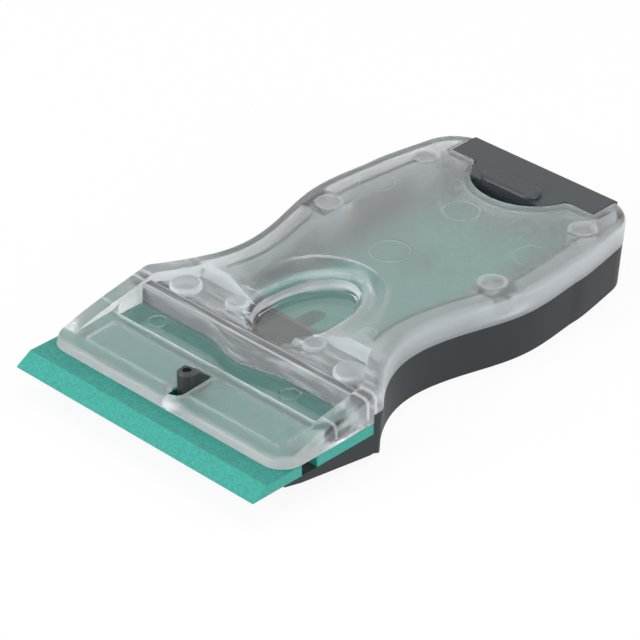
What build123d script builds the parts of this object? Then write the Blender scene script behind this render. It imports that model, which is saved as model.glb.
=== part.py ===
from build123d import *
import os

os.makedirs("parts", exist_ok=True)

# A hand scraper for glass hobs. Millimetres. X is across, Y runs back from the blade, Z is up from the
# table. The origin lies on the table under the middle of the scraper. A station is a distance back from
# the blade's edge, and a half is a distance out from the middle plane.

# Heights of the whole tool
height = 14.3
seam_height = 9.2
blade_seat = 5.3
overrun = 30.0
quarter_turn = 90.0
search_reach = 0.15

# Walls and clearances
wall = 1.6
floor = 1.5
cover_wall = 1.4
roof = 1.5
seat_gap = 0.1
slide_gap = 0.15
opening_gap = 0.25
shell_draft = 0.6
cover_draft = 0.3

# Blade
width = 60.0
blade_depth = 29.2
blade_thickness = 2.1
bevel_length = 3.3
edge_land = 0.15
side_notch_station = 13.45
side_notch_width = 3.7
side_notch_depth = 5.5
window_front = 9.4
window_length = 8.8
window_width = 4.6
window_corner = 1.0
blade_half = blade_depth / 2
blade_top = blade_seat + blade_thickness
blade_stop = blade_depth + seat_gap
window_rear = window_front + window_length

# Spare blades, which lie lengthwise in the handle and set its length
flare_run = 2.8
flare_station = blade_depth + flare_run
spare_setback = 11.0
spare_count = 2
spare_play = 0.25
spare_head_room = 0.35
tray_wall = 1.0
tray_floor = 1.4
cap_depth = 5.5
spare_start = flare_station + spare_setback
spare_end = spare_start + width
length = spare_end + cap_depth
tray_bottom = floor + slide_gap
spare_seat = tray_bottom + tray_floor
tray_half = blade_half + spare_play + tray_wall
tray_height = spare_seat + spare_count * blade_thickness + spare_head_room

# Plan of the handle: half widths beyond the spare blades, at shares of the way from the flare to the tail
waist_share = 0.2065
waist_margin = 7.6
swell_share = 0.3634
swell_margin = 9.4
hip_share = 0.5569
hip_margin = 12.75
flank_share = 0.7085
flank_margin = 11.95
tail_corner_margin = 1.1
tail_radius = 8.8
tail_angle = 11.0
flare_radius = 2.4
flare_lean_share = 0.4
flare_draft_share = 1.4

# Jaw, the sloped front of the lower shell
jaw_front = 7.5
jaw_lip = 0.35
jaw_knee_station = 11.4
jaw_knee_drop = 1.35
jaw_heel_setback = 0.9
jaw_heel_height = 1.25

# Blade catch: a fin on a spring tongue that turns about a bar at its root
catch_axis_setback = 0.2
catch_axis_drop = 1.5
bar_radius = 1.3
stub_radius = 0.9
stub_length = 1.2
stub_clearance = 0.08
tongue_setback = 0.7
tongue_width = 6.0
tongue_thickness = 1.3
tongue_tip_thickness = 0.6
tongue_drop = 0.3
channel_gap = 0.35
fin_front_play = 2.3
fin_rear_play = 1.0
fin_width = 3.6
fin_rise = 2.8
fin_crest_run = 2.7
fin_slope_drop = 2.2
fin_edge = 0.4
dimple_radius = 0.85
dimple_depth = 0.6
catch_axis_station = blade_depth - catch_axis_setback
catch_axis_height = blade_seat - catch_axis_drop
tongue_front = window_front + tongue_setback
fin_front = window_front + fin_front_play
fin_rear = window_rear - fin_rear_play

# Magazine
cap_length = 7.4
cap_margin = 3.2
cap_wall = 1.6
cap_edge_radius = 0.7
deck_from_tail = 12.2
deck_thickness = 1.5
ledge_drop = 2.5
grip_length = 13.8
grip_width = 4.6
grip_from_tail = 10.2
grip_rise = 1.1
grip_edge = 0.7
cap_front = length - cap_length
cap_half = blade_half + cap_margin
bay_half = cap_half + opening_gap
ledge_height = height - ledge_drop

# Cover
plate_front = 7.0
plate_lean_share = 0.44
plate_corner = 4.6
plate_thickness = 1.8
plate_rise = 0.7
rim_foot_run = 2.6
rim_rise_run = 7.0
rim_rise = 0.8
rim_width = 3.7
shoulder_setback = 5.0
shoulder_drop = 1.5
brow_run = 9.0
relief_front = 11.8
relief_length = 7.4
relief_side = 5.4
relief_depth = 0.5
strip_length = 7.7
strip_corner = 2.2
strip_thickness = 1.0
ridge_setback = 1.5
ridge_rise = 2.9
ridge_width = 1.9
ridge_slope_run = 2.3
ridge_bulge = 2.0
ridge_bulge_half = 15.0
ridge_back_run = 0.4
bridge_front_rise = 2.1
bridge_rear_rise = 2.5
bridge_run = 5.2
bridge_step_run = 1.3
top_edge_radius = 1.3
top_face_share = 0.5
slot_front_play = 2.7
slot_rear_play = 0.4
slot_side_play = 0.35
cover_bottom = blade_top + seat_gap
plate_height = cover_bottom + plate_thickness
ridge_front = blade_depth - ridge_setback
ridge_rear = ridge_front + ridge_width
ridge_height = plate_height + ridge_rise
strip_front = ridge_front - strip_length
strip_floor = cover_bottom + strip_thickness
bridge_front_height = plate_height + bridge_front_rise
bridge_rear_height = plate_height + bridge_rear_rise
bridge_rear = flare_station + bridge_run
bridge_step = bridge_rear + bridge_step_run
ceiling = height - roof

# Thumb dish: a frosted slope from an arched outline down to a polished bowl with a sloped rim
dish_half = 15.5
dish_length = 21.0
dish_front_run = 1.2
dish_wall = 1.3
bowl_half = 8.7
bowl_setback = 4.8
bowl_length = 14.3
bowl_front_run = 2.3
bowl_rim_drop = 2.0
bowl_rim_width = 1.3
bowl_rim_depth = 0.6
bowl_clearance = 2.0
bowl_edge = 0.7
bowl_floor = tray_height + bowl_clearance + dish_wall

# Finger notch over the grip
notch_from_tail = 4.1
notch_radius = 12.0
notch_corner = 1.5
skirt_wall = 1.1
skirt_drop = 4.2

# Posts of the cover, and the pins and sockets of the lower shell that hold it
front_post_side = 9.3
front_post_run = 0.9
inner_post_half = 9.8
inner_post_run = 3.3
post_radius = 1.9
post_clearance = 0.05
post_depth = 3.6
socket_wall = 1.4
dome_radius = 3.0
dome_rise = 1.3
inner_dome_radius = 2.2
inner_dome_rise = 1.0
dome_edge = 0.4
hip_post_margin = 6.0
hip_post_share = 0.4967
tail_post_margin = 5.3
tail_post_from_tail = 12.7
tube_radius = 2.6
pin_radius = 1.55
pin_head_room = 1.2
rib_inset = 4.6
rib_wall = 1.0
rib_lift = 0.4
rib_run = 9.0
rib_from_tail = 11.5
boss_block = 7.4
boss_block_shift = 1.4
rail_wall = 0.9
rail_rise = 3.35
rail_setback = 1.0
rail_from_tail = 8.5
cheek_wall = 1.2
pin_height = ceiling - pin_head_room
hip_post_half = blade_half + hip_post_margin
hip_post_station = flare_station + hip_post_share * (length - flare_station)


def station(distance):
    """Y of a place that lies this far back from the blade's edge."""
    return distance - length / 2


def at_height(z):
    return Plane.XY.offset(z)


def side_plane(x):
    """Upright plane across X: its x runs back along Y, its y runs up."""
    return Plane(origin=(x, 0, 0), x_dir=(0, 1, 0), z_dir=(1, 0, 0))


def both_sides(places):
    """Places given as half width and distance back, as points on both sides of the scraper."""
    return [(side * half, station(back)) for half, back in places for side in (1, -1)]


def handle_plan(front, corner, inset, draft):
    """Plan from a straight front to the rounded tail, drawn in by inset, and by draft behind the flare."""
    half = width / 2 - inset
    start = station(front)
    flare = (half, station(flare_station) - flare_lean_share * inset - flare_draft_share * draft)
    inner = blade_half - inset - draft
    grip = length - flare_station
    waist = (inner + waist_margin, station(flare_station + waist_share * grip))
    swell = (inner + swell_margin, station(flare_station + swell_share * grip))
    hip = (inner + hip_margin, station(flare_station + hip_share * grip))
    flank = (inner + flank_margin, station(flare_station + flank_share * grip))
    tail_middle = (blade_half + tail_corner_margin, length / 2 - tail_radius)
    tail_bend = tail_radius - inset - draft
    with BuildSketch() as plan:
        with BuildLine():
            if corner > 0:
                Line((0, start), (half - corner, start))
                RadiusArc((half - corner, start), (half, start + corner), -corner)
                Line((half, start + corner), flare)
            else:
                Polyline((0, start), (half, start), flare)
            tail = CenterArc(tail_middle, tail_bend, tail_angle, quarter_turn - tail_angle)
            Spline(flare, waist, swell, hip, flank, tail @ 0, tangents=[(-1, 1), tail % 0])
            Line(tail @ 1, (0, length / 2 - inset - draft))
            mirror(about=Plane.YZ)
        make_face()
        near, far = flare[1] - search_reach, flare[1] + search_reach
        fillet(plan.vertices().filter_by_position(Axis.Y, near, far), flare_radius)
    return plan.sketch


def strip_across(front, rear):
    """Rectangle across the whole scraper between two distances back from the blade's edge."""
    with BuildSketch() as band:
        with Locations((0, station((front + rear) / 2))):
            Rectangle(width + overrun, rear - front)
    return band.sketch


def soften(builder, size, lowest=False):
    """Soft edge of two flats round the highest face of a builder's part, or round its lowest one."""
    end = 0 if lowest else -1
    chamfer(builder.faces().sort_by(Axis.Z)[end].edges(), size, size / 2)
    chamfer(builder.faces().sort_by(Axis.Z)[end].edges(), size / 2)


def notch_outline(shrink):
    """Plan of the round finger notch, drawn in by shrink: it is open to the rear."""
    with BuildSketch() as notch:
        with Locations((0, station(length - notch_from_tail))):
            Circle(notch_radius - shrink)
    return notch.sketch


def make_blade(base):
    """A blade on the base plane: its edge lies on the plane's x line and its body runs towards y."""
    section = Plane(base.origin, x_dir=base.y_dir, z_dir=base.x_dir)
    with BuildPart() as blank:
        with BuildSketch(section):
            with BuildLine():
                Polyline(
                    (0, 0),
                    (blade_depth, 0),
                    (blade_depth, blade_thickness),
                    (bevel_length, blade_thickness),
                    (0, edge_land),
                    close=True,
                )
            make_face()
        extrude(amount=width / 2, both=True)
        with BuildSketch(base):
            with Locations((width / 2, side_notch_station), (-width / 2, side_notch_station)):
                SlotOverall(2 * side_notch_depth, side_notch_width)
            with Locations((0, (window_front + window_rear) / 2)):
                RectangleRounded(window_width, window_rear - window_front, window_corner)
        extrude(amount=blade_thickness, mode=Mode.SUBTRACT)
    return blank.part


# Front blade, and the two spares that lie lengthwise in the magazine
with BuildPart() as blade:
    add(make_blade(Plane(origin=(0, station(0), blade_seat))))
blade.part.label = "blade"
export_step(blade.part, "parts/blade.step")

spare_middle = station(spare_start) + width / 2
for number in range(spare_count):
    corner = (-blade_half, spare_middle, spare_seat + number * blade_thickness)
    with BuildPart() as spare:
        add(make_blade(Plane(origin=corner, x_dir=(0, -1, 0), z_dir=(0, 0, 1))))
    spare.part.label = f"spare_blade_{number + 1}"
    export_step(spare.part, f"parts/spare_blade_{number + 1}.step")


# Blade catch
tongue_top = blade_seat - tongue_drop
tongue_underside = tongue_top - tongue_thickness
fin_shoulder = station(fin_front) + fin_width / 2
fin_height = plate_height + fin_rise
fin_rear_height = fin_height - fin_slope_drop
with BuildPart() as blade_catch:
    with BuildSketch(side_plane(0)):
        with BuildLine():
            Polyline(
                (station(tongue_front), tongue_top),
                (station(catch_axis_station), tongue_top),
                (station(catch_axis_station), tongue_underside),
                (station(fin_rear), tongue_underside),
                (station(tongue_front), tongue_top - tongue_tip_thickness),
                close=True,
            )
        make_face()
        with Locations((station(catch_axis_station), catch_axis_height)):
            Circle(bar_radius)
    extrude(amount=tongue_width / 2, both=True)
    with BuildSketch(side_plane(0)):
        with Locations((station(catch_axis_station), catch_axis_height)):
            Circle(stub_radius)
    extrude(amount=tongue_width / 2 + stub_length, both=True)
    with BuildSketch(at_height(tongue_top)):
        with BuildLine():
            fin_side = Line((fin_width / 2, fin_shoulder), (fin_width / 2, station(fin_rear)))
            Line(fin_side @ 1, (-fin_width / 2, station(fin_rear)))
            Line((-fin_width / 2, station(fin_rear)), (-fin_width / 2, fin_shoulder))
            ThreePointArc((-fin_width / 2, fin_shoulder), (0, station(fin_front)), fin_side @ 0)
        make_face()
    extrude(amount=fin_height - tongue_top)
    with BuildSketch(side_plane(0)):
        with BuildLine():
            Polyline(
                (station(fin_front + fin_crest_run), fin_height),
                (station(fin_rear), fin_rear_height),
                (station(fin_rear) + overrun, fin_rear_height),
                (station(fin_rear) + overrun, fin_height),
                close=True,
            )
        make_face()
    extrude(amount=tongue_width, both=True, mode=Mode.SUBTRACT)
    fin_top = blade_catch.faces().sort_by(Axis.Z)[-1]
    chamfer(fin_top.edges().filter_by(GeomType.CIRCLE), fin_edge)
    with BuildSketch(at_height(fin_height)):
        with Locations((0, fin_shoulder)):
            Circle(dimple_radius)
    extrude(amount=-dimple_depth, mode=Mode.SUBTRACT)
blade_catch.part.label = "blade_catch"
export_step(blade_catch.part, "parts/blade_catch.step")


# Lower shell
channel_half = tongue_width / 2 + channel_gap
channel_rear = catch_axis_station + bar_radius + channel_gap
bay_front = channel_rear + wall
socket_radius = post_radius + post_clearance
post_foot_height = seam_height - post_depth
front_post = (width / 2 - front_post_side, flare_station + front_post_run)
inner_post = (inner_post_half, flare_station + inner_post_run)
hip_post = (hip_post_half, hip_post_station)
tail_post = (blade_half + tail_post_margin, length - tail_post_from_tail)
front_posts = both_sides([front_post, inner_post])
tube_posts = both_sides([hip_post, tail_post])

with BuildPart() as lower_shell:
    with BuildSketch(at_height(0)):
        add(handle_plan(blade_stop, 0, 0, cover_draft + shell_draft))
    with BuildSketch(at_height(seam_height)):
        add(handle_plan(blade_stop, 0, 0, cover_draft))
    loft(ruled=True)
    with BuildSketch(side_plane(0)):
        with BuildLine():
            Polyline(
                (station(jaw_front), blade_seat),
                (station(jaw_front), blade_seat - jaw_lip),
                (station(jaw_knee_station), blade_seat - jaw_knee_drop),
                (station(blade_depth - jaw_heel_setback), jaw_heel_height),
                (station(blade_stop), jaw_heel_height),
                (station(blade_stop), blade_seat),
                close=True,
            )
        make_face()
    extrude(amount=width / 2, both=True)
    with BuildSketch(side_plane(0)):
        with BuildLine():
            Polyline(
                (station(blade_stop), jaw_heel_height),
                (station(flare_station), 0),
                (station(blade_stop), 0),
                close=True,
            )
        make_face()
    extrude(amount=width, both=True, mode=Mode.SUBTRACT)
    with BuildSketch(at_height(floor)):
        add(handle_plan(plate_front, 0, wall, cover_draft + shell_draft))
        add(strip_across(0, bay_front), mode=Mode.SUBTRACT)
    extrude(amount=seam_height, mode=Mode.SUBTRACT)
    with BuildSketch(at_height(floor)):
        cheek_middle = station((cap_front + length - wall) / 2)
        with Locations(*[(side * (bay_half + cheek_wall / 2), cheek_middle) for side in (1, -1)]):
            Rectangle(cheek_wall, length - wall - cap_front)
    extrude(amount=seam_height - floor)
    with BuildSketch(at_height(floor)):
        with Locations((0, length / 2)):
            Rectangle(2 * bay_half, 2 * (length - cap_front))
    extrude(amount=seam_height, mode=Mode.SUBTRACT)
    with BuildSketch(at_height(floor)):
        rail_front = spare_start + rail_setback
        rail_rear = length - rail_from_tail
        rail_middle = station((rail_front + rail_rear) / 2)
        rail_half = tray_half + slide_gap + rail_wall / 2
        with Locations((rail_half, rail_middle), (-rail_half, rail_middle)):
            Rectangle(rail_wall, rail_rear - rail_front)
    extrude(amount=tray_bottom + rail_rise - floor)
    with BuildSketch(at_height(floor)):
        with Locations(*front_posts):
            Circle(socket_radius + socket_wall)
    extrude(amount=seam_height - floor)
    with BuildSketch(at_height(post_foot_height - seat_gap)):
        with Locations(*front_posts):
            Circle(socket_radius)
    extrude(amount=seam_height, mode=Mode.SUBTRACT)
    with BuildSketch(at_height(floor)):
        with Locations(*tube_posts):
            Circle(pin_radius)
    extrude(amount=pin_height - floor)
    with BuildSketch(at_height(-overrun)):
        with Locations((0, station((window_front + channel_rear) / 2))):
            Rectangle(2 * channel_half, channel_rear - window_front)
    extrude(amount=blade_seat + overrun, mode=Mode.SUBTRACT)
    with BuildSketch(side_plane(0)):
        with Locations((station(catch_axis_station), catch_axis_height)):
            Circle(stub_radius + stub_clearance)
    extrude(amount=tongue_width / 2 + stub_length + seat_gap, both=True, mode=Mode.SUBTRACT)
lower_shell.part.label = "lower_shell"
export_step(lower_shell.part, "parts/lower_shell.step")


# Magazine
cap_back = cap_wall + cover_draft + shell_draft
tray_front = spare_start - spare_play - tray_wall
with BuildPart() as magazine:
    with BuildSketch(at_height(tray_bottom)):
        with Locations((0, station((tray_front + spare_end + spare_play) / 2))):
            Rectangle(2 * tray_half, spare_end + spare_play - tray_front)
    extrude(amount=tray_height - tray_bottom)
    with BuildSketch(side_plane(0)) as cap_side:
        with BuildLine():
            Polyline(
                (station(spare_end) + spare_play, tray_bottom),
                (length / 2 - cover_draft - shell_draft, tray_bottom),
                (length / 2 - cover_draft, seam_height),
                (length / 2, height),
                (station(cap_front), height),
                (station(cap_front), tray_height + seat_gap),
                (station(spare_end) + spare_play, tray_height + seat_gap),
                close=True,
            )
        make_face()
        fillet(cap_side.vertices().sort_by(Axis.X)[-1], cap_edge_radius)
    extrude(amount=cap_half, both=True)
    with BuildSketch(at_height(spare_seat)):
        with Locations((0, spare_middle)):
            Rectangle(blade_depth + 2 * spare_play, width + 2 * spare_play)
    extrude(amount=tray_height + seat_gap - spare_seat, mode=Mode.SUBTRACT)
    with BuildSketch(side_plane(0)):
        with BuildLine():
            Polyline(
                (station(cap_front), tray_height + seat_gap),
                (station(cap_front), height - cap_wall),
                (length / 2 - cap_back, height - cap_wall),
                (length / 2 - cap_back, tray_bottom + cap_wall),
                (station(spare_end) + spare_play + tray_wall, tray_bottom + cap_wall),
                (station(spare_end) + spare_play + tray_wall, tray_height + seat_gap),
                close=True,
            )
        make_face()
    extrude(amount=cap_half - cap_wall, both=True, mode=Mode.SUBTRACT)
    with BuildSketch(at_height(ledge_height - deck_thickness)):
        add(notch_outline(opening_gap))
        add(strip_across(cap_front + cap_wall, length + overrun), mode=Mode.SUBTRACT)
    extrude(amount=deck_thickness)
    with BuildSketch(at_height(ledge_height)):
        add(notch_outline(opening_gap))
        add(strip_across(cap_front + cap_wall, length + overrun), mode=Mode.SUBTRACT)
        add(strip_across(0, length - deck_from_tail), mode=Mode.SUBTRACT)
    extrude(amount=height - ledge_height)
    with BuildSketch(at_height(ledge_height)):
        with Locations((0, station(length - grip_from_tail))):
            SlotOverall(grip_length, grip_width)
    extrude(amount=height + grip_rise - ledge_height)
    soften(magazine, grip_edge)
magazine.part.label = "magazine"
export_step(magazine.part, "parts/magazine.step")


# Cover
cover_height = height - cover_bottom
rim_foot = (station(plate_front + rim_foot_run), plate_height)
brow = (station(flare_station + brow_run), height)


def strip_outline(rear):
    """Plan of the window strip: a straight front with round corners, a rear edge that bulges forward."""
    front = station(strip_front)
    half = width / 2 - rim_width
    with BuildSketch() as outline:
        with BuildLine():
            Line((0, front), (half - strip_corner, front))
            RadiusArc((half - strip_corner, front), (half, front + strip_corner), -strip_corner)
            bulge_end = (ridge_bulge_half, station(rear))
            Polyline((half, front + strip_corner), (half, station(rear)), bulge_end)
            Spline(bulge_end, (0, station(rear - ridge_bulge)), tangents=[(-1, 0), (-1, 0)])
            mirror(about=Plane.YZ)
        make_face()
    return outline.sketch


def arch(half, front, middle, rear):
    """Plan with a round front, straight sides back to the middle station and a long oval rear."""
    tip = station(front)
    with BuildSketch() as plan:
        with BuildLine():
            ThreePointArc((-half, tip + half), (0, tip), (half, tip + half))
            Line((half, tip + half), (half, station(middle)))
            EllipticalCenterArc((0, station(middle)), half, rear - middle, arc_size=2 * quarter_turn)
            Line((-half, station(middle)), (-half, tip + half))
        make_face()
    return plan.sketch


def dish_form(growth):
    """The dish's hollow, grown all round: a straight bowl, its sloped rim and the wide slope."""
    bowl_middle = bridge_rear + bowl_setback
    bowl_rear = bowl_middle + bowl_length + growth
    bowl_front = bowl_middle - bowl_front_run - bowl_half - growth
    dish_front = bridge_rear - dish_front_run - dish_half - growth
    outer = arch(dish_half + growth, dish_front, bridge_rear, bridge_rear + dish_length + growth)
    rim = arch(bowl_half + growth, bowl_front, bowl_middle, bowl_rear)
    inner = arch(
        bowl_half - bowl_rim_width + growth,
        bowl_front + bowl_rim_width,
        bowl_middle,
        bowl_rear - bowl_rim_width,
    )
    rim_level = height - bowl_rim_drop - growth
    with BuildPart() as form:
        with BuildSketch(at_height(bowl_floor - growth)):
            add(inner)
        extrude(amount=rim_level - bowl_rim_depth - bowl_floor + growth)
        soften(form, bowl_edge, lowest=True)
        with BuildSketch(at_height(rim_level - bowl_rim_depth)):
            add(inner)
        with BuildSketch(at_height(rim_level)):
            add(rim)
        loft(ruled=True)
        with BuildSketch(at_height(rim_level)):
            add(rim)
        with BuildSketch(at_height(height - growth)):
            add(outer)
        loft(ruled=True)
    return form.part


def round_head(radius, top):
    """The rounded head of a post, from inside the cover's bridge up to this height."""
    with BuildPart() as head:
        with BuildSketch(at_height(bridge_front_height - roof)):
            Circle(radius)
        extrude(amount=top - bridge_front_height + roof)
        soften(head, dome_edge)
    return head.part


with BuildPart() as cover_cavity:
    with BuildSketch(side_plane(0)):
        with BuildLine():
            Polyline(
                (station(bay_front), seam_height - overrun),
                (station(bay_front), bridge_front_height - roof),
                (station(bridge_step), bridge_rear_height - roof),
                (station(bridge_step), ceiling),
                (length / 2 + overrun, ceiling),
                (length / 2 + overrun, seam_height - overrun),
                close=True,
            )
        make_face()
    extrude(amount=width, both=True)
    with BuildSketch(at_height(seam_height - overrun)):
        add(handle_plan(plate_front, 0, cover_wall, cover_draft))
    extrude(amount=height + 2 * overrun, mode=Mode.INTERSECT)
    add(dish_form(dish_wall), mode=Mode.SUBTRACT)

with BuildPart() as top_hollows:
    with BuildSketch(side_plane(0)):
        with BuildLine():
            Polyline(
                (station(plate_front) - overrun, plate_height),
                rim_foot,
                (station(strip_front), plate_height + plate_rise),
                (station(ridge_front) - ridge_bulge, ridge_height),
                (station(ridge_rear), ridge_height),
                (station(ridge_rear) + ridge_back_run, bridge_front_height),
                (station(bridge_rear), bridge_rear_height),
                (station(bridge_step), height),
                (station(bridge_step), height + overrun),
                (station(plate_front) - overrun, height + overrun),
                close=True,
            )
        make_face()
    extrude(amount=width, both=True)
    with BuildSketch(at_height(strip_floor)):
        add(strip_outline(ridge_front - ridge_slope_run))
    with BuildSketch(at_height(height)):
        add(strip_outline(ridge_front))
    loft(ruled=True)
    with BuildSketch(at_height(strip_floor)):
        add(handle_plan(0, 0, rim_width, 0))
    extrude(amount=overrun, mode=Mode.INTERSECT)

with BuildPart() as cover:
    with BuildSketch(at_height(cover_bottom)):
        add(handle_plan(plate_front, plate_corner, 0, cover_draft))
    with BuildSketch(at_height(cover_bottom + 2 * cover_height)):
        add(handle_plan(plate_front + 2 * plate_lean_share * cover_height, plate_corner, 0, -cover_draft))
    loft(ruled=True)
    with BuildSketch(side_plane(-width)):
        with BuildLine():
            Spline(
                rim_foot,
                (station(plate_front + rim_rise_run), plate_height + rim_rise),
                (station(flare_station - shoulder_setback), height - shoulder_drop),
                brow,
                tangents=[(1, 0), (1, 0)],
            )
            Polyline(
                brow,
                (length / 2 + overrun, height),
                (length / 2 + overrun, seam_height),
                (station(blade_stop), seam_height),
                (station(blade_stop), cover_bottom),
                (station(0), cover_bottom),
                (station(0), plate_height),
                rim_foot,
            )
        make_face()
    extrude(amount=2 * width, mode=Mode.INTERSECT)
    top_faces = cover.faces().filter_by(lambda face: face.normal_at().Z > top_face_share)
    fillet(top_faces.edges(), top_edge_radius)
    add(cover_cavity.part, mode=Mode.SUBTRACT)
    add(top_hollows.part, mode=Mode.SUBTRACT)
    add(dish_form(0), mode=Mode.SUBTRACT)

    # Posts with round heads at the front, tubes over the shell's pins behind
    with BuildSketch(at_height(post_foot_height)):
        with Locations(*front_posts):
            Circle(post_radius)
    extrude(amount=bridge_front_height - post_foot_height)
    with Locations(*front_posts[:2]):
        add(round_head(dome_radius, bridge_front_height + dome_rise))
    with Locations(*front_posts[2:]):
        add(round_head(inner_dome_radius, bridge_front_height + inner_dome_rise))
    rib_foot_height = seam_height + rib_lift
    with BuildSketch(at_height(rib_foot_height)):
        add(handle_plan(plate_front, 0, rib_inset, 0))
        add(handle_plan(plate_front, 0, rib_inset + rib_wall, 0), mode=Mode.SUBTRACT)
        add(strip_across(0, flare_station + rib_run), mode=Mode.SUBTRACT)
        add(strip_across(length - rib_from_tail, length + overrun), mode=Mode.SUBTRACT)
        with Locations(*both_sides([(hip_post_half + boss_block_shift, hip_post_station)])):
            Rectangle(boss_block, boss_block)
        add(handle_plan(plate_front, 0, cover_wall, cover_draft), mode=Mode.INTERSECT)
    extrude(amount=ceiling - rib_foot_height)
    with BuildSketch(at_height(floor + seat_gap)):
        with Locations(*tube_posts):
            Circle(tube_radius)
    extrude(amount=ceiling - floor - seat_gap)
    with BuildSketch(at_height(floor + seat_gap)):
        with Locations(*tube_posts):
            Circle(pin_radius + post_clearance)
    extrude(amount=pin_height - floor, mode=Mode.SUBTRACT)

    # Skirt round the finger notch and cheeks beside the magazine's cap
    with BuildSketch(at_height(height - skirt_drop)):
        add(notch_outline(-skirt_wall))
        add(strip_across(cap_front, length + overrun), mode=Mode.SUBTRACT)
        with Locations((0, station(cap_front - skirt_wall / 2))):
            Rectangle(2 * bay_half, skirt_wall)
    extrude(amount=skirt_drop - roof)
    with BuildSketch(at_height(seam_height)):
        cheek_middle = station((cap_front + length - cover_wall) / 2)
        with Locations(*[(side * (bay_half + cheek_wall / 2), cheek_middle) for side in (1, -1)]):
            Rectangle(cheek_wall, length - cover_wall - cap_front)
    extrude(amount=ceiling - seam_height)
    opening_front = station(cap_front - seat_gap)
    with BuildSketch(at_height(seam_height)) as rear_opening:
        add(notch_outline(0))
        with Locations((0, length / 2)):
            Rectangle(2 * bay_half, length - 2 * opening_front)
        corners = rear_opening.vertices().filter_by_position(Axis.X, -notch_radius, notch_radius)
        fillet(corners, notch_corner)
    extrude(amount=height, mode=Mode.SUBTRACT)

    # Slot for the catch's fin and the shallow relief under the plate
    slot_half = fin_width / 2 + slot_side_play
    slot_round = station(fin_front - slot_front_play) + slot_half
    slot_end = station(fin_rear + slot_rear_play)
    with BuildSketch(at_height(cover_bottom)):
        with Locations((0, slot_round)):
            Circle(slot_half)
        with Locations((0, (slot_round + slot_end) / 2)):
            Rectangle(2 * slot_half, slot_end - slot_round)
    extrude(amount=height, mode=Mode.SUBTRACT)
    with BuildSketch(at_height(cover_bottom)):
        with Locations((0, station(relief_front + relief_length / 2))):
            Rectangle(width - 2 * relief_side, relief_length)
    extrude(amount=relief_depth, mode=Mode.SUBTRACT)
cover.part.label = "cover"
export_step(cover.part, "parts/cover.step")
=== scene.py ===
import bmesh
import bpy
import math
from mathutils import Euler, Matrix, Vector


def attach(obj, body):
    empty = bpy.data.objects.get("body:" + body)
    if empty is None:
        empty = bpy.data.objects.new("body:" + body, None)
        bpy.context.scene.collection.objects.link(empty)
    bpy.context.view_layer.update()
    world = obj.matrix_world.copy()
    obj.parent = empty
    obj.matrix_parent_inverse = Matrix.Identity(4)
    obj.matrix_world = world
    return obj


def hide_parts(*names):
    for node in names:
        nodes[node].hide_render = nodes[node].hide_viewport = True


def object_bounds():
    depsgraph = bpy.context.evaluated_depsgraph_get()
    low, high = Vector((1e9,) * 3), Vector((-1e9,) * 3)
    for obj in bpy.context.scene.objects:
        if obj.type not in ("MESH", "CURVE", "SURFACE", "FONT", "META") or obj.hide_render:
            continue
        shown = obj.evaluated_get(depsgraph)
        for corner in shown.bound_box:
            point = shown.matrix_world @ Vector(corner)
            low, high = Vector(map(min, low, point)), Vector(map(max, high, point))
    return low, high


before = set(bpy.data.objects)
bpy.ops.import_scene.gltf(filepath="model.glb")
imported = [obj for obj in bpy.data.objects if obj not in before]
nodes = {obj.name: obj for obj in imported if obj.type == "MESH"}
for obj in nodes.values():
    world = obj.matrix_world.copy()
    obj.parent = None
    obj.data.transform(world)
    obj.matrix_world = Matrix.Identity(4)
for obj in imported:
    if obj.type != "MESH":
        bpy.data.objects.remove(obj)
cad_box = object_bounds()
MM = 0.001


# Lower shell: the dark grey body under the cover, with the sloped jaw that carries the blade. It is
# injection moulded in hard plastic, and the mould's fine spark-eroded grain leaves it matt.
class Wire:
    """A socket of a material's nodes. Sums, products and quotients of it add the Math nodes."""

    def __init__(self, socket):
        self.socket = socket

    @staticmethod
    def node(tree, kind, settings=None, inputs=None, output=0):
        made = tree.nodes.new("ShaderNode" + kind)
        for name, value in (settings or {}).items():
            setattr(made, name, value)
        for name, value in (inputs or {}).items():
            if isinstance(value, Wire):
                tree.links.new(value.socket, made.inputs[name])
            else:
                made.inputs[name].default_value = value
        return Wire(made.outputs[output])

    def math(self, operation, *others):
        inputs = dict(enumerate((self,) + others))
        return Wire.node(self.socket.id_data, "Math", {"operation": operation}, inputs)

    def __add__(self, other):
        return self.math("ADD", other)

    def __mul__(self, other):
        return self.math("MULTIPLY", other)

    def __sub__(self, other):
        return self.math("SUBTRACT", other)

    def __rsub__(self, other):
        inputs = {0: other, 1: self}
        return Wire.node(self.socket.id_data, "Math", {"operation": "SUBTRACT"}, inputs)

    def __truediv__(self, other):
        return self.math("DIVIDE", other)

    __radd__ = __add__
    __rmul__ = __mul__


def new_finish(name, **constants):
    """A material of one Principled shader: returns it, its tree, its shader and the place on it."""
    material = bpy.data.materials.new(name)
    material.use_nodes = True
    tree = material.node_tree
    shader = tree.nodes["Principled BSDF"]
    for socket, value in constants.items():
        shader.inputs[socket.replace("_", " ")].default_value = value
    place = Wire.node(tree, "TexCoord", output="Object")
    return material, tree, shader, place


def feed(tree, shader, **wires):
    for socket, wire in wires.items():
        tree.links.new(wire.socket, shader.inputs[socket.replace("_", " ")])


def clouds(tree, place, size, detail=2.0, seed=0.0):
    """Noise from 0 to 1 whose patches are about this many metres across."""
    inputs = {"Vector": place, "W": seed, "Scale": 1 / size, "Detail": detail}
    return Wire.node(tree, "TexNoise", {"noise_dimensions": "4D"}, inputs)


def blend_colours(tree, share, first, second):
    """Colour between two others. The Mix node's colours are its inputs 6 and 7 and its output 2."""
    inputs = {0: share, 6: first, 7: second}
    return Wire.node(tree, "Mix", {"data_type": "RGBA"}, inputs, 2)


def relief(tree, height, depth):
    return Wire.node(tree, "Bump", None, {"Height": height, "Distance": depth}, "Normal")


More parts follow.
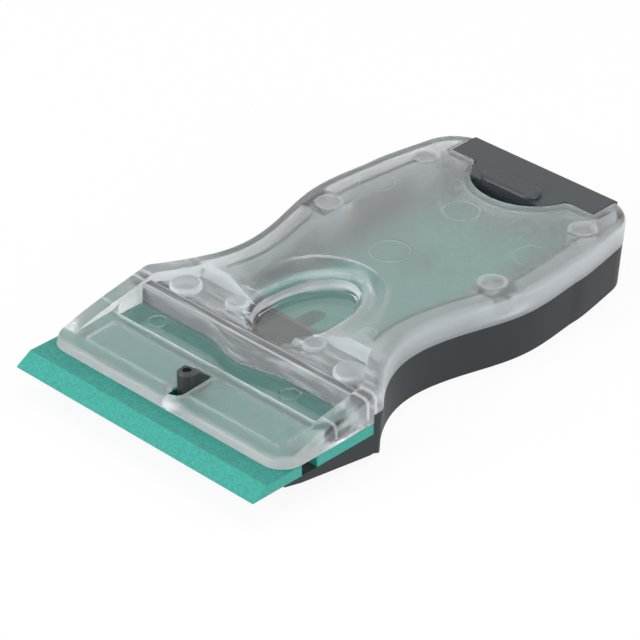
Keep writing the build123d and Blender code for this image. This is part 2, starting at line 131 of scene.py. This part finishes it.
def dress(meshes, material):
    for mesh in meshes:
        mesh.materials.clear()
        mesh.materials.append(material)


def dark_plastic(name, dark, light, roughness, grain_depth):
    """Dark plastic with clouds of tone, a fine moulded grain and slightly uneven gloss."""
    material, tree, shader, place = new_finish(name, IOR=1.5)
    tone = clouds(tree, place, 9 * MM, 3.0)
    grain = clouds(tree, place, 0.22 * MM, 3.0, 1.0)
    feed(
        tree,
        shader,
        Base_Color=blend_colours(tree, 0.6 * tone + 0.4 * grain, dark, light),
        Roughness=roughness + 0.10 * (tone - 0.5) + 0.12 * (grain - 0.5),
        Normal=relief(tree, grain, grain_depth),
    )
    return material


shell_dark = (0.005, 0.009, 0.013, 1)
shell_light = (0.012, 0.017, 0.022, 1)
shell_plastic = dark_plastic("shell_plastic", shell_dark, shell_light, 0.58, 0.02 * MM)
dress([nodes["lower_shell"].data], shell_plastic)


# Blade catch: the fin in the cover's slot and its spring tongue under the blade, one moulding in
# hard dark plastic. It snaps into two bearings in the jaw, and its fin has a dimple for a pen's tip.
catch_dark = (0.020, 0.021, 0.022, 1)
catch_light = (0.034, 0.035, 0.036, 1)
catch_plastic = dark_plastic("catch_plastic", catch_dark, catch_light, 0.42, 0.008 * MM)
dress([nodes["blade_catch"].data], catch_plastic)


# Blades: one in the jaw and two spares in the magazine. They are moulded in a tough filled plastic,
# green right through, so the surface is matt and finely mottled. The bevel, like every face that
# isn't
# level, is painted paler: a painted highlight for the light from the front.
def fade(tree, value, low, high):
    """0 below low and 1 above high, with a smooth change between."""
    inputs = {"Value": value, "From Min": low, "From Max": high}
    return Wire.node(tree, "MapRange", {"interpolation_type": "SMOOTHSTEP"}, inputs)


def evenness(tree):
    """1 where the surface lies level and 0 where it stands upright."""
    facing = Wire.node(tree, "TexCoord", output="Normal")
    return Wire.node(tree, "SeparateXYZ", None, {"Vector": facing}, "Z").math("ABSOLUTE")


blade_green = (0.008, 0.172, 0.142, 1)
blade_pale = (0.042, 0.415, 0.345, 1)
blade_plastic, tree, shader, place = new_finish("blade_plastic", IOR=1.5)
mottle = fade(tree, clouds(tree, place, 0.6 * MM, 4.0), 0.30, 0.70)
speckle = fade(tree, clouds(tree, place, 0.25 * MM, 2.0, 3.0), 0.35, 0.65)
# painted highlight: faces that aren't level, the bevel above all, are painted paler as if lit from
# the front, on top of the blade's own random mottle
lit_bevel = 1 - fade(tree, evenness(tree), 0.90, 0.97)
paleness_and_bevel_light = 0.30 * mottle + 0.30 * speckle + 0.35 * lit_bevel
feed(
    tree,
    shader,
    Base_Color=blend_colours(tree, paleness_and_bevel_light, blade_green, blade_pale),
    Roughness=0.50 + 0.20 * (speckle - 0.5),
    Normal=relief(tree, paleness_and_bevel_light, 0.015 * MM),
)
blade_names = ["blade", "spare_blade_1", "spare_blade_2"]
dress([nodes[name].data for name in blade_names], blade_plastic)


# Magazine: the drawer with its tray for the spares and the cap that closes the handle, pulled by the
# grip bump. It is one moulding in dark plastic, a little smoother than the shell.
cap_dark = (0.025, 0.031, 0.037, 1)
cap_light = (0.038, 0.045, 0.052, 1)
cap_plastic = dark_plastic("cap_plastic", cap_dark, cap_light, 0.45, 0.006 * MM)
dress([nodes["magazine"].data], cap_plastic)


# Cover: the clear moulding over the whole tool, pinned to the lower shell. The mould's grain frosts
# it milky, the bowl and the strip in front of the bridge are polished, and the ejector pins leave
# faint rings. Its milky share also carries painted highlights: line highlights on the ridge and the
# bowl's rim, bright rings round the posts, bright stripes over the bridge and brighter steep sides.
# Its mesh is a copy of the imported cover, with a deeper bowl and a wider strip.
tip = cad_box[0][1] / MM
bulge_share = 0.67
slope_setback = 0.5 * MM
foot_setback = 1.3 * MM
bowl_drop = 1.2 * MM
crease_angle = math.radians(30)


def pick(form, inside):
    """Vertices whose x, distance back from the blade's edge and height in mm are inside."""
    places = [(vert, vert.co / MM) for vert in form.verts]
    return [vert for vert, spot in places if inside(spot.x, spot.y - tip, spot.z)]


def at_slope(x, station, height):
    """True for the slope that closes the strip at the back."""
    return 23 < station < 27.1 and abs(x) < 26.4 and 8.4 < height < 12.5


def at_bulge(x, station, height):
    """True for the forward bulge in the middle of the slope."""
    return at_slope(x, station, height) and abs(x) < 15.1


def at_foot(x, station, height):
    """True for the bottom edge of the slope."""
    return at_slope(x, station, height) and height < 8.6


def at_bowl(x, station, height):
    """True for the bowl's floor and sides, above and below, apart from the posts beside it."""
    reach = max(station - 42, 0) / 15.6 + min(station - 39.7, 0) / 10
    beside_post = math.hypot(abs(x) - 9.8, station - 35.3) < 2.1
    return math.hypot(x / 10, reach) < 1.02 and 9.5 < height < 11.65 and not beside_post


cover_mesh = nodes["cover"].data.copy()
cover_form = bmesh.new()
cover_form.from_mesh(cover_mesh)
bmesh.ops.remove_doubles(cover_form, verts=cover_form.verts, dist=0.001 * MM)
slope = pick(cover_form, at_slope)
foot = pick(cover_form, at_foot)
bmesh.ops.scale(cover_form, vec=(bulge_share, 1, 1), verts=pick(cover_form, at_bulge))
bmesh.ops.translate(cover_form, vec=(0, slope_setback, 0), verts=slope)
bmesh.ops.translate(cover_form, vec=(0, foot_setback, 0), verts=foot)
bmesh.ops.translate(cover_form, vec=(0, 0, -bowl_drop), verts=pick(cover_form, at_bowl))
cover_form.to_mesh(cover_mesh)
cover_form.free()
if "custom_normal" in cover_mesh.attributes:
    cover_mesh.attributes.remove(cover_mesh.attributes["custom_normal"])
cover_mesh.shade_smooth()
cover_mesh.set_sharp_from_angle(angle=crease_angle)
clear_cover = bpy.data.objects.new("clear_cover", cover_mesh)
clear_cover.modifiers.new("normals", "WEIGHTED_NORMAL").keep_sharp = True
bpy.context.scene.collection.objects.link(clear_cover)
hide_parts("cover")
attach(clear_cover, "housing")

clear_plastic, tree, shader, place = new_finish(
    "clear_plastic",
    IOR=1.49,
    Specular_IOR_Level=0.25,
    Transmission_Weight=1.0,
    Base_Color=(0.95, 0.97, 0.97, 1),
    Coat_IOR=1.5,
    Coat_Roughness=0.04,
)


def stretch(tree, place, scale):
    return Wire.node(tree, "VectorMath", {"operation": "MULTIPLY"}, {0: place, 1: scale})


def from_middle(tree, place, x, station, radius):
    """Distance of a place on the cover from a round one, where 1 is at its radius. All in mm."""
    middle = (x * MM, (tip + station) * MM, 0)
    shift = Wire.node(tree, "VectorMath", {"operation": "SUBTRACT"}, {0: place, 1: middle})
    scaled = stretch(tree, shift, (1 / (radius * MM), 1 / (radius * MM), 0))
    return Wire.node(tree, "VectorMath", {"operation": "LENGTH"}, {0: scaled}, "Value")


def line(tree, value, middle, half_width):
    """1 where the value is at the middle, fading out to 0 over the half width on both sides."""
    away = (value - middle).math("ABSOLUTE")
    return 1 - fade(tree, away, 0.2 * half_width, half_width)


# x, distance back from the blade's edge and radius of each round mark and post, in mm
ejector_rings = [
    (0.0, 65.0, 3.8),
    (-0.7, 85.0, 3.6),
    (19.5, 82.0, 3.5),
    (-19.5, 82.0, 3.5),
    (-19.8, 24.9, 1.9),
    (14.1, 24.6, 1.9),
    (16.2, 41.6, 1.9),
]
post_places = [
    (20.7, 32.9, 3.0),
    (9.8, 35.3, 2.2),
    (20.6, 70.0, 2.7),
    (19.9, 95.8, 2.7),
]
flat_place = stretch(tree, place, (1, 1, 0))
rings = 0.0
for x, station, radius in ejector_rings:
    away = from_middle(tree, flat_place, x, station, radius)
    rings = rings + line(tree, away, 1.0, 0.35 / radius)
# painted highlights: bright rings round the posts seen through the cover
post_rim_highlights = 0.0
post_tops = 0.0
for x, station, radius in post_places:
    for side in (1, -1):
        away = from_middle(tree, flat_place, side * x, station, radius)
        post_rim_highlights = post_rim_highlights + line(tree, away, 0.93, 0.5 / radius)
        post_tops = post_tops + (1 - fade(tree, away, 0.75, 1.0))

# depth is the distance back from the blade's edge and level the height, in metres
depth = Wire.node(tree, "SeparateXYZ", None, {"Vector": place}, "Y") - tip * MM
level = Wire.node(tree, "SeparateXYZ", None, {"Vector": place}, "Z")
across = Wire.node(tree, "SeparateXYZ", None, {"Vector": place}, "X") / (8.7 * MM)
behind_middle = (depth - 42.0 * MM).math("MAXIMUM", 0.0) / (14.3 * MM)
before_middle = (depth - 39.7 * MM).math("MINIMUM", 0.0) / (8.7 * MM)
along = behind_middle + before_middle
bowl_reach = (across * across + along * along).math("SQRT")
in_bowl = 1 - fade(tree, bowl_reach, 0.98, 1.02)
# painted highlight: a pale band along the bowl's rim
bowl_rim_highlight = line(tree, bowl_reach, 1.0, 0.10) * fade(tree, level, 10.5 * MM, 11.0 * MM)
in_strip = fade(tree, depth, 19.5 * MM, 20.5 * MM) * (1 - fade(tree, level, 8.7 * MM, 9.0 * MM))
in_strip = in_strip * (1 - fade(tree, depth, 27.5 * MM, 28.0 * MM))
in_bridge = fade(tree, depth, 23.0 * MM, 24.0 * MM) * (1 - fade(tree, depth, 37.0 * MM, 45.0 * MM))
in_bridge = in_bridge * (1 - in_strip)
# painted highlights: pale line highlights along the strip's front edge and along the ridge
ridge_highlight_lines = line(tree, depth, 20.0 * MM, 0.4 * MM) + line(tree, depth, 27.8 * MM, 0.5 * MM)
ridge_highlight_lines = ridge_highlight_lines + line(tree, depth, 29.7 * MM, 0.5 * MM)
ridge_highlight_lines = ridge_highlight_lines * fade(tree, level, 8.6 * MM, 8.8 * MM)

frost = fade(tree, clouds(tree, place, 0.45 * MM, 3.0), 0.30, 0.70)
waves = clouds(tree, place, 6 * MM, 1.0, 2.0)
long_place = stretch(tree, place, (0.08, 1, 0.6))
# painted highlights: stripes across the bridge that stand in for its glints
light_streaks = fade(tree, clouds(tree, long_place, 0.8 * MM, 1.0, 5.0), 0.50, 0.75)
steep = 1 - fade(tree, evenness(tree), 0.35, 0.80)
polished = in_bowl.math("MAXIMUM", in_strip)
surface = 0.08 * frost * (1 - polished) + 0.4 * waves + 0.5 * rings
feed(
    tree,
    shader,
    Roughness=0.30 + 0.12 * frost - 0.30 * polished,
    Coat_Weight=(0.6 * polished).math("MAXIMUM", 0.6 * post_tops),
    Normal=relief(tree, surface, 0.12 * MM),
)
milk = Wire.node(tree, "BsdfDiffuse", None, {"Color": (0.82, 0.87, 0.90, 1), "Roughness": 0.5})
# the grain's frost, the bridge's frost with its painted highlight stripes, and frosted post tops
frost_and_light_streaks = 0.01 + 0.055 * frost + in_bridge * (0.12 + 0.25 * light_streaks) + 0.06 * post_tops
# painted highlights: steep faces made milky-bright, more so on the handle's sides, the bowl, the
# bridge and the strip
wall_highlights = 0.10 + 0.18 * fade(tree, depth, 36.0 * MM, 50.0 * MM)
wall_highlights = wall_highlights + 0.30 * in_bowl + 0.08 * in_bridge + 0.15 * in_strip
# the ejector pins' real rings together with the painted line highlights
rings_and_line_highlights = 0.35 * ridge_highlight_lines + 0.22 * post_rim_highlights + 0.04 * rings + 0.20 * bowl_rim_highlight
# the milky share: real frost plus the painted highlights
milk_and_highlights = frost_and_light_streaks * (1 - polished) + steep * wall_highlights + rings_and_line_highlights
whole = Wire.node(tree, "MixShader", None, {0: milk_and_highlights, 1: Wire(shader.outputs[0]), 2: milk})
tree.links.new(whole.socket, tree.nodes["Material Output"].inputs["Surface"])
dress([cover_mesh], clear_plastic)


# The table and the light round it: a pale floor, soft lamps above and on three sides, one narrow
# lamp above that gives the bowl its bright edge, and an even white room.
def seen_rays(tree):
    """1 for what the camera sees, also in gloss and through plastic, and 0 for light on things."""
    light_path = tree.nodes.new("ShaderNodeLightPath")
    kinds = ("Is Camera Ray", "Is Glossy Ray", "Is Transmission Ray")
    camera_ray, glossy_ray, clear_ray = [Wire(light_path.outputs[kind]) for kind in kinds]
    return camera_ray.math("MAXIMUM", glossy_ray).math("MAXIMUM", clear_ray)


floor_size = 6.0
floor_mesh = bpy.data.meshes.new("floor")
floor_form = bmesh.new()
bmesh.ops.create_grid(floor_form, x_segments=1, y_segments=1, size=floor_size / 2)
floor_form.to_mesh(floor_mesh)
floor_form.free()
floor = bpy.data.objects.new("floor", floor_mesh)
bpy.context.scene.collection.objects.link(floor)
floor_grey = (0.90, 0.90, 0.90, 1)
floor_paint, tree, shader, place = new_finish("floor_paint", Base_Color=floor_grey, Roughness=0.9)
glow = Wire.node(tree, "Emission", None, {"Color": (1, 1, 1, 1), "Strength": 1.0})
sides = {0: 0.92 * seen_rays(tree), 1: Wire(shader.outputs[0]), 2: glow}
painted = Wire.node(tree, "MixShader", None, sides)
tree.links.new(painted.socket, tree.nodes["Material Output"].inputs["Surface"])
dress([floor_mesh], floor_paint)

room_light = 0.42
world = bpy.data.worlds.new("room")
bpy.context.scene.world = world
world.use_nodes = True
tree = world.node_tree
background = tree.nodes["Background"]
background.inputs["Color"].default_value = (1, 1, 1, 1)
room_strength = room_light + (1 - room_light) * seen_rays(tree)
tree.links.new(room_strength.socket, background.inputs["Strength"])

lamp_aim = Vector((0, 0, 0.01))
lamps = [
    ("top_lamp", (-0.05, 0.02, 0.8), 0.55, 0.55, 1.0),
    ("strip_lamp", (-0.05, 0.02, 0.8), 0.50, 0.12, 1.2),
    ("front_lamp", (-0.35, -0.75, 0.40), 0.5, 0.5, 4.6),
    ("rear_lamp", (0.45, 0.60, 0.55), 0.3, 0.3, 1.0),
    ("side_lamp", (0.80, -0.05, 0.20), 0.3, 0.3, 2.2),
]
for name, lamp_place, width, height, watts in lamps:
    lamp_data = bpy.data.lights.new(name, "AREA")
    lamp_data.shape = "RECTANGLE"
    lamp_data.size = width
    lamp_data.size_y = height
    lamp_data.energy = watts
    lamp = bpy.data.objects.new(name, lamp_data)
    bpy.context.scene.collection.objects.link(lamp)
    lamp.location = lamp_place
    lamp.rotation_euler = (lamp_aim - Vector(lamp_place)).to_track_quat("-Z", "Y").to_euler()

bpy.context.scene.view_settings.view_transform = "Standard"


# The camera stands as it did for the photograph: front right of the tool, looking down at it from
# far away.
camera_azimuth = math.radians(44.49)
camera_elevation = math.radians(32.17)
camera_distance = 0.54925
camera_aim = Vector((0.01596, -0.02395, 0.02189))
camera_data = bpy.data.cameras.new("camera")
camera_data.lens = 179.03
camera = bpy.data.objects.new("camera", camera_data)
bpy.context.scene.collection.objects.link(camera)
turn = Euler((math.pi / 2 - camera_elevation, 0, camera_azimuth))
camera.rotation_euler = turn
camera.location = camera_aim + turn.to_matrix() @ Vector((0, 0, camera_distance))
bpy.context.scene.camera = camera
